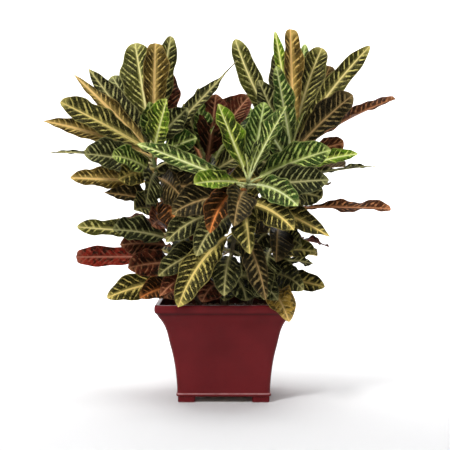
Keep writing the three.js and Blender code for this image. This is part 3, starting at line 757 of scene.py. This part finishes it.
def leaf_top_material():
    g = Graph("croton_leaf_upper")
    v = leaf_veins(g)
    blade, second, vein, rib = (g.attribute(name) for name in ("blade", "second", "vein", "rib"))

    # The ground: patches of the two blade colours, with dark blots and flecks.
    # The patches lean to the dark second colour towards the base, as painted shade, and to the first
    # colour towards the tip.
    patches = g.noise(v.where, 0.04, 3, 0.55) + (v.u - 0.5) * 0.25
    limit = 1 - g.attribute("second", "Alpha")
    patchy = g.span(patches, limit - 0.1, limit + 0.1)
    g.colour = g.mix(1 - patchy, blade, second)
    fleck = g.noise(v.where, 0.5, 2, 0.6)
    blots = g.span(g.noise(v.where, 0.12, 3, 0.6), 0.46, 0.58, 0, 0.9)
    dark = g.math("MAXIMUM", blots, g.span(fleck, 0.4, 0.65, 0, 0.5))
    g.coat(dark, (0.003, 0.004, 0.002))

    # The side veins, floods of their colour beside them, and where they are worn away.
    flood = g.span(g.noise(v.where, 0.06, 3), 0.46, 0.66, 0, 0.4)
    g.coat(v.band * flood * v.strength, vein)
    worn = g.span(g.noise(v.where, 0.13, 3), 0.4, 0.56, 0.1, 1)
    shown = v.veins * v.strength * (worn * g.span(v.edge, 0.95, 0.5, 0.3, 1))
    g.coat(shown * 1.3, vein)
    faint = g.math("MAXIMUM", v.net * 0.1, v.between * 0.3)
    g.coat(faint * v.strength, vein)
    mottle = g.span(g.noise(v.where, 0.34, 3, 0.6), 0.6, 0.68, 0, 0.14)
    g.coat(mottle * v.strength, vein)

    # The base darkened as painted shade, where the middle of the bush lies in shadow; the lighter edge
    # and tip, and the midrib.
    g.coat(g.span(v.u, 0.4, 0, 0, 0.55), second)
    ends = g.math("MAXIMUM", v.margin * 0.3, g.span(v.u, 0.88, 1, 0, 0.6))
    g.coat(ends, vein)
    g.coat(v.rib_band * 0.4, vein)
    g.coat(v.rib, rib)
    height = g.span(v.off, 0.2, 3.8) * 0.7 - v.veins * 0.35 - v.net * 0.08
    height = height + g.noise(v.where, 0.35, 3) * 0.25
    rough = g.span(fleck, 0.2, 0.8, 0.36, 0.5) + v.rib * 0.08
    return g.finish(rough, 0.04, height, 0.0008, 0.9)


def leaf_under_material():
    g = Graph("croton_leaf_under")
    v = leaf_veins(g)
    under, second, vein, rib = (g.attribute(name) for name in ("under", "second", "vein", "rib"))
    patches = g.span(g.noise(v.where, 0.05, 3), 0.35, 0.65)
    g.colour = g.mix(patches * 0.45, under, second)
    for mask, share in ((v.band, 0.2), (v.veins, 0.5), (v.net, 0.2)):
        g.coat(mask * share, vein)
    g.coat(v.rib * 0.85, rib)
    height = g.math("MULTIPLY_ADD", v.veins, 0.5, v.net * 0.15)
    height = height + g.noise(v.where, 0.4, 3) * 0.2
    rough = g.span(g.noise(v.where, 0.5), 0.2, 0.8, 0.5, 0.66)
    return g.finish(rough, 0.04, height, 0.0005, 0.8)


def petiole_material():
    g = Graph("croton_petiole")
    along, around, _ = g.split(g.attribute("leaf", "Vector"))
    _, _, seed = g.split(g.attribute("trait", "Vector"))
    streaks = g.span(g.noise(g.join(along * 0.3, around, seed * 50), 1.4, 3), 0.35, 0.65)
    g.colour = g.mix(streaks * 0.5, g.attribute("rib"), g.attribute("blade"))
    g.coat(g.span(along, 9, 1, 0, 0.7), (0.05, 0.06, 0.02))
    rough = g.span(streaks, 0, 1, 0.42, 0.55)
    return g.finish(rough, 0.15, streaks, 0.0002, 0.6)


def stem_material():
    """Brown bark with warts, greener towards the growing tip."""
    g = Graph("croton_bark")
    height, around, share = g.split(g.attribute("stem", "Vector"))
    bark = g.noise(g.join(around, height * 0.35, 0), 0.5, 5, 0.6)
    fine = g.noise(g.join(around, height, 3), 1.2, 4, 0.65)
    g.colour = g.mix(g.span(bark, 0.3, 0.7), (0.065, 0.045, 0.028), (0.16, 0.125, 0.085))
    green = g.mix(fine, (0.05, 0.075, 0.02), (0.12, 0.14, 0.045))
    g.coat(g.span(share, 0.35, 1), green)
    warts = g.span(g.cells(g.join(around, height, 0), 0.42), 0.3, 0.15)
    g.coat(warts * 0.5, (0.26, 0.2, 0.13))
    rough = g.span(fine, 0.2, 0.8, 0.6, 0.82)
    return g.finish(rough, 0.12, bark * 0.7 + fine * 0.3, 0.0007, 0.9)


def glaze_material():
    """Dark red glaze: paler at the ledge's edge, the corners and the feet's lower edges, partly thin
    glaze and partly a painted highlight; a painted shadow below the lip; darker and duller inside the
    pot.
    """
    g = Graph("burgundy_glaze")
    where = g.place()
    thin, inside_pot, painted_shadow_under_lip = g.split(g.attribute("pot", "Vector"))
    cloud = g.noise(where, 14, 4, 0.55)
    g.colour = g.mix(g.span(cloud, 0.3, 0.7), (0.112, 0.0088, 0.0108), (0.145, 0.0115, 0.014))
    speck = g.noise(where, 420)
    g.coat(g.span(speck, 0.62, 0.75, 0, 0.35), (0.05, 0.004, 0.006))
    # Paler pink at the ledge's edge, the corners and the feet: partly glaze thinning over edges, partly
    # a painted highlight.
    thin_edge_and_highlight = thin + (g.noise(where, 90, 3) - 0.5) * 0.5
    g.coat(g.span(thin_edge_and_highlight, 0.4, 1.1, 0, 0.8), (0.56, 0.3, 0.3))
    # A painted shadow: darker glaze in a band below the lip.
    g.coat(painted_shadow_under_lip * 0.8, (0.028, 0.003, 0.004))
    # Darker and duller inside the pot, from the lip's inner edge down.
    inside_darkening = inside_pot * g.span(g.noise(where, 120, 4, 0.6), 0.3, 0.6, 0.6, 0.95)
    g.coat(inside_darkening, (0.022, 0.012, 0.009))
    relief = g.noise(where, 55) * 0.8 + speck * 0.04
    gloss = g.math("MULTIPLY_ADD", inside_pot, -0.12, 0.12)
    return g.finish(g.span(cloud, 0.25, 0.75, 0.27, 0.36), gloss, relief, 0.0006, 0.35)


def clay_material():
    g = Graph("bare_clay")
    grain = g.noise(g.place(), 600, 4, 0.6)
    cloud = g.noise(g.place(), 40, 3)
    g.colour = g.mix(g.span(cloud, 0.3, 0.7), (0.36, 0.2, 0.13), (0.46, 0.29, 0.19))
    g.coat(g.span(grain, 0.5, 0.7, 0, 0.5), (0.2, 0.1, 0.07))
    return g.finish(g.span(grain, 0.3, 0.7, 0.8, 0.95), 0.2, grain, 0.0004, 0.6)


def peat_material():
    g = Graph("peat")
    grain = g.noise(g.place(), 900, 5, 0.7)
    cloud = g.noise(g.place(), 60, 4, 0.6)
    g.colour = g.mix(g.span(cloud, 0.3, 0.7), (0.012, 0.0075, 0.005), (0.04, 0.025, 0.015))
    g.coat(g.span(grain, 0.55, 0.75, 0, 0.7), (0.1, 0.062, 0.035))
    lumps = grain * 0.6 - g.cells(g.place(), 420)
    return g.finish(g.span(grain, 0.3, 0.7, 0.85, 0.98), 0.15, lumps, 0.0016, 1)


def chip_material(name, dark, light):
    g = Graph(name)
    x, y, z = g.split(g.attribute("grain", "Vector"))
    fibre = g.noise(g.join(x * 0.25, y, z), 1.3, 4, 0.6)
    g.colour = g.mix(g.span(fibre, 0.3, 0.7), dark, light)
    return g.finish(g.span(fibre, 0.2, 0.8, 0.75, 0.92), 0.2, fibre, 0.0007, 0.9)


# ---- stems ----

def stem_piece(name, leaves, material):
    """The woody stem: it swells at each leaf's joint, with scars of fallen leaves between."""
    path = STEMS[name]
    steps, sides = 130, 16
    share = np.linspace(0, 1, steps)
    first = bezier(path, [0.0], heading=True)
    depth = np.linspace(-ROOT_DEPTH, 0, ROOT_STEPS + 1)[:-1]
    middle = np.vstack([bezier(path, 0.0) + first * depth[:, None], bezier(path, share)])
    along = np.vstack([np.repeat(first, ROOT_STEPS, 0), bezier(path, share, heading=True)])
    whole = np.hstack([np.zeros(ROOT_STEPS), share])
    across = unit(np.cross([0, 1.0, 0], along))
    travelled = np.hstack([[0], np.cumsum(np.linalg.norm(np.diff(middle, axis=0), axis=1))])
    radius = STEM_FOOT_RADIUS + (STEM_TOP_RADIUS - STEM_FOOT_RADIUS) * whole
    for at in sorted({leaf.at for leaf in leaves} | set(SCARS)):
        place = np.interp(at, whole, travelled)
        radius = radius + JOINT_SWELL * bell((travelled - place) / JOINT_HALF)
    radius[-4:] *= [0.95, 0.85, 0.65, 0.3]
    angle = circle(sides)
    rough = np.array([
        [noise.noise((cos(a) * 1.6, sin(a) * 1.6, t * 0.11)) for a in angle]
        for t in travelled])
    reach = radius[:, None] * (1 + 0.07 * rough)
    points = middle[:, None] + reach[..., None] * all_round(across, np.cross(along, across), sides)
    rows = len(middle)
    where = spread((rows, sides), travelled[:, None], angle * 4.0, whole[:, None])
    skin = Skin()
    skin.add(points, tube_faces(rows, sides), stem=where)
    piece = skin.build(f"stem_{name}", [material], f"leafy_stem_{name}")


# ---- pot and soil ----

def square_ring(half, z, corner, per_side=9, per_corner=8):
    """A square with round corners, as points all round at height z."""
    def on_corner(quarter, step):
        sx, sy = ((1, 1), (-1, 1), (-1, -1), (1, -1))[quarter % 4]
        angle = (quarter + step / per_corner) * pi / 2
        return np.array([sx * (half - corner) + corner * cos(angle),
                         sy * (half - corner) + corner * sin(angle), z])

    ring = []
    for quarter in range(4):
        ring += [on_corner(quarter, step) for step in range(per_corner + 1)]
        start, end = ring[-1], on_corner(quarter + 1, 0)
        ring += [start + (end - start) * step / per_side for step in range(1, per_side)]
    return np.array(ring)


def outside_half(z):
    return np.interp(z, *zip(*OUTSIDE))


def smooth_outside():
    """The pot's outline with more heights up its flare, where it bends gently."""
    heights, halves = (np.array(v, float) for v in zip(*OUTSIDE))
    knots = [*zip(heights, halves, np.gradient(halves, heights))]
    outline = []
    for (z0, h0, slope0), (z1, h1, slope1) in zip(knots, knots[1:]):
        for t in (0, 1 / 3, 2 / 3) if z1 - z0 > 4 else (0,):
            bend = (z1 - z0) * (slope0 * (t**3 - 2 * t * t + t) + slope1 * (t**3 - t * t))
            half = h0 * (2 * t**3 - 3 * t * t + 1) + h1 * (3 * t * t - 2 * t**3) + bend
            outline.append((z0 + (z1 - z0) * t, half))
    return outline + OUTSIDE[-1:]


def inside_half(z):
    return min(outside_half(z) - WALL, RIM_INNER_HALF)


def pot_piece():
    """The planter's one skin, up the outside and down the inside, and its feet. A point's values say
    how pale the glaze is, as thin glaze and a painted highlight, whether it lies inside the pot, and
    how much painted shadow lies below the lip."""
    skin = Skin()
    outline = smooth_outside()
    outer = len(outline)
    outline += [(z, RIM_INNER_HALF + more) for z, more in LIP_ROUNDING]
    outline += [(z, inside_half(z)) for z in INSIDE_HEIGHTS]
    outline += [(22, inside_half(24) - 0.6), (FLOOR_TOP, inside_half(20) - 3)]
    rings = [square_ring(half, z, CORNER_RADIUS) for z, half in outline]
    sides = len(rings[0])
    values = []
    for k, ((z, half), ring) in enumerate(zip(outline, rings)):
        # Paler glaze on the ledge's edge and round the corners: partly thin glaze, partly a painted
        # highlight.
        thin = bell((z - THIN_GLAZE_AND_HIGHLIGHT_HEIGHT) / THIN_GLAZE_AND_HIGHLIGHT_REACH) * (k < outer)
        beyond = np.abs(ring[:, 0]) + np.abs(ring[:, 1]) - (2 * half - CORNER_RADIUS)
        thin = np.maximum(thin, 0.45 * np.clip(beyond / 4, 0, 1))
        # A painted shadow below the lip.
        painted_shadow_under_lip = bell((z - SHADOW_UNDER_LIP_HEIGHT) / SHADOW_UNDER_LIP_REACH)
        values.append(spread(sides, thin, k >= outer, painted_shadow_under_lip))
    add_pottery(skin, rings, values)
    for x in (-FOOT_MIDDLE, FOOT_MIDDLE):
        for y in (-FOOT_MIDDLE, FOOT_MIDDLE):
            add_foot(skin, x, y)
    piece = skin.build("pot_glazed", [glaze_material(), clay_material()], "pot", sharp=50)


def add_pottery(skin, rings, values):
    """A glazed skin through the rings and over the last of them, and bare clay below the first."""
    sides = len(rings[0])
    under, last = end_faces(len(rings), sides)
    skin.add(np.vstack(rings), grid_faces(len(rings), sides, wrap=True) + [last],
             pot=np.vstack(values))
    skin.add(rings[0], [under], 1, pot=BLANK)


def add_foot(skin, x, y):
    """A block foot with rounded edges, glazed round its sides and bare below."""
    half = FOOT_SIDE / 2
    levels = [(0, half - FOOT_ROUNDING), (0.35, half - 0.4), (FOOT_ROUNDING, half),
              (FOOT_HEIGHT - 1, half), (FOOT_HEIGHT + FOOT_OVERLAP, half)]
    rings = [square_ring(reach, z, FOOT_CORNER, 2, 5) + np.array([x, y, 0.0]) for z, reach in levels]
    # Paler glaze round the foot's lower edges: partly thin glaze, partly a painted highlight.
    add_pottery(skin, rings, [spread(len(rings[0]), v, 0, 0) for v in (1, 1, 0.5, 0, 0)])


def soil_height(x, y):
    edge = inside_half(SOIL_TOP) - SOIL_GAP
    out = min(1.0, max(abs(x), abs(y)) / edge)
    broad = noise.noise((x * 0.06, y * 0.06, 1.7))
    fine = noise.noise((x * 0.2, y * 0.2, 5.1))
    lumps = 1.5 * broad + 0.8 * fine
    return SOIL_TOP + SOIL_CROWN * (1 - out * out) + lumps * min(1.0, (1 - out) * 8) - 0.3


def chip(centre, draws, size, flat):
    """An irregular chip: six sided, tilted, size millimetres long."""
    spin = 2 * pi * next(draws)
    tilt = 0.7 * (next(draws) - 0.5)
    lean = 0.7 * (next(draws) - 0.5)
    reach = [0.5 * size * drawn(draws, 0.75, 0.5) for _ in range(6)]
    narrow = drawn(draws, 0.45, 0.35)
    points = []
    for level, share in ((-0.5, 0.8), (0.0, 1.0), (0.5, 0.72)):
        for k in range(6):
            a = pi * k / 3
            x, y = share * reach[k] * cos(a), share * reach[k] * sin(a) * narrow
            z = level * flat + x * tilt + y * lean
            points.append((x * cos(spin) - y * sin(spin),
                           x * sin(spin) + y * cos(spin), z))
    points = np.array(points)
    return points + centre, tube_faces(3, 6), points + 40 * next(draws)


def soil_piece():
    """Peat with bark chips and a few white grains of perlite, heaped a little to the middle."""
    skin = Skin()
    edge = inside_half(SOIL_TOP) - SOIL_GAP
    across = SOIL_POINTS
    places = np.linspace(-edge, edge, across)
    top = np.array([(x, y, soil_height(x, y)) for y in places for x in places])
    corner = edge - CORNER_RADIUS + 0.5
    for point in top:
        beyond = np.maximum(np.abs(point[:2]) - corner, 0)
        length = hypot(*beyond)
        if min(beyond) > 0 and length > edge - corner:
            point[:2] = np.sign(point[:2]) * (corner + beyond * (edge - corner) / length)
    skin.add(top, grid_faces(across, across), grain=BLANK)
    index = np.arange(across * across).reshape(across, across)
    rim = top[np.hstack([index[0], index[1:, -1], index[-1, -2::-1], index[-2:0:-1, 0]])]
    wall = [rim]
    for z in SOIL_WALL_HEIGHTS:
        lower = rim.copy()
        lower[:, :2] *= (inside_half(max(z, 22)) - SOIL_GAP) / edge
        lower[:, 2] = z
        wall.append(lower)
    faces = grid_faces(len(wall), len(rim), wrap=True, flip=True)
    skin.add(np.vstack(wall), faces + [end_faces(len(wall), len(rim))[1][::-1]], grain=BLANK)
    draws = seeded_draws(SOIL_SEED)
    for count, (short, long), (thin, thick), slot in SOIL_BITS:
        for _ in range(count):
            x, y = ((2 * next(draws) - 1) * (edge - 5) for _ in range(2))
            size = drawn(draws, short, long - short)
            flat = drawn(draws, thin, thick - thin)
            points, faces, local = chip((x, y, soil_height(x, y) + 0.25 * flat), draws, size, flat)
            skin.add(points, faces, slot, grain=local)
    materials = [
        peat_material(),
        chip_material("bark_chips", (0.05, 0.028, 0.016), (0.15, 0.085, 0.048)),
        chip_material("perlite", (0.55, 0.53, 0.48), (0.72, 0.7, 0.66)),
        chip_material("fine_bark", (0.025, 0.015, 0.01), (0.085, 0.05, 0.03)),
    ]
    piece = skin.build("soil_mix", materials, "soil", sharp=45)


# ---- the plant ----

def leaves_piece(name, stem, leaves, materials, draws, scale=1.0):
    skin = Skin()
    for place, leaf in enumerate(leaves):
        add_leaf(skin, leaf, (place / len(leaves), 1 / len(leaves)), draws, scale)
    piece = skin.build(name, materials, f"leafy_stem_{stem}")


def plant_pieces():
    """Each stem with its leaves, from the lowest up and a few to a piece, and its young leaves."""
    leaves = all_leaves()
    draws = seeded_draws(LOOK_SEED)
    materials = [leaf_top_material(), leaf_under_material(), petiole_material()]
    bark = stem_material()
    for stem in STEMS:
        own = sorted((leaf for leaf in leaves if leaf.stem == stem), key=lambda leaf: leaf.at)
        stem_piece(stem, own, bark)
        pieces = ceil(len(own) / LEAVES_PER_PIECE)
        for k in range(pieces):
            some = own[k * len(own) // pieces:(k + 1) * len(own) // pieces]
            leaves_piece(f"leaves_{stem}_{k + 1}", stem, some, materials, draws)
        young = young_leaves(stem, draws)
        leaves_piece(f"young_leaves_{stem}", stem, young, materials, draws, YOUNG_SCALE)


# ---- studio ----

# Soft lights: name, place, what each points at, side in metres, and watts.
LIGHTS = [
    ("key", (-1.2, -1.5, 1.9), (0, 0, 0.3), 0.6, 46),
    ("fill", (1.7, -1.3, 1.0), (0, 0, 0.28), 1.4, 6),
    ("top", (0.1, -0.1, 2.3), (0, 0, 0.2), 1.2, 24),
    ("backdrop", (0, 1.3, 2.2), (0, 3.2, 0.5), 2.0, 150),
]
WORLD_LIGHT = 0.05

# The floor runs up into a low wall all round: its radius, the curve's radius and the height.
BOWL_RADIUS = 3.2
BOWL_CURVE = 0.9
BOWL_HEIGHT = 2.6
BOWL_SIDES = 96
BOWL_STEPS = 14
SENSOR_WIDTH = 36


def stand(name, data, place, direction):
    """A light or camera put in its place, facing a direction."""
    made = place_in_scene(name, data)
    made.location = place
    made.rotation_euler = direction.to_track_quat("-Z", "Y").to_euler()
    return made


def studio():
    profile = [(BOWL_RADIUS - BOWL_CURVE + BOWL_CURVE * sin(a), BOWL_CURVE - BOWL_CURVE * cos(a))
               for a in np.linspace(0.0, pi / 2, BOWL_STEPS)]
    profile.append((BOWL_RADIUS, BOWL_HEIGHT))
    points = [(r * cos(a), r * sin(a), z) for r, z in profile for a in circle(BOWL_SIDES)]
    faces = grid_faces(len(profile), BOWL_SIDES, wrap=True, flip=True) + [list(range(BOWL_SIDES))]
    mesh = bpy.data.meshes.new("floor")
    mesh.from_pydata(points, [], faces)
    mesh.shade_smooth()
    floor = place_in_scene("floor", mesh)
    g = Graph("floor_paper")
    g.colour = (0.7, 0.7, 0.705)
    mesh.materials.append(g.finish(0.9, 0.1))

    world = bpy.data.worlds.new("studio")
    world.use_nodes = True
    background = world.node_tree.nodes["Background"].inputs
    background["Color"].default_value = (1, 1, 1, 1)
    background["Strength"].default_value = WORLD_LIGHT
    bpy.context.scene.world = world
    bpy.context.scene.view_settings.view_transform = "Standard"

    for name, place, aim, size, power in LIGHTS:
        data = bpy.data.lights.new(name, "AREA")
        data.shape = "SQUARE"
        data.size = size
        data.energy = power
        stand(name, data, place, Vector(aim) - Vector(place))


def camera():
    data = bpy.data.cameras.new("camera")
    data.sensor_fit = "HORIZONTAL"
    data.sensor_width = SENSOR_WIDTH
    data.lens = SENSOR_WIDTH * FOCAL_PIXELS / (2 * HALF_FRAME)
    data.dof.use_dof = False
    bpy.context.scene.camera = stand("camera", data, EYE * MM, Vector(LOOK_AT - EYE))


plant_pieces()
pot_piece()
soil_piece()
studio()
camera()
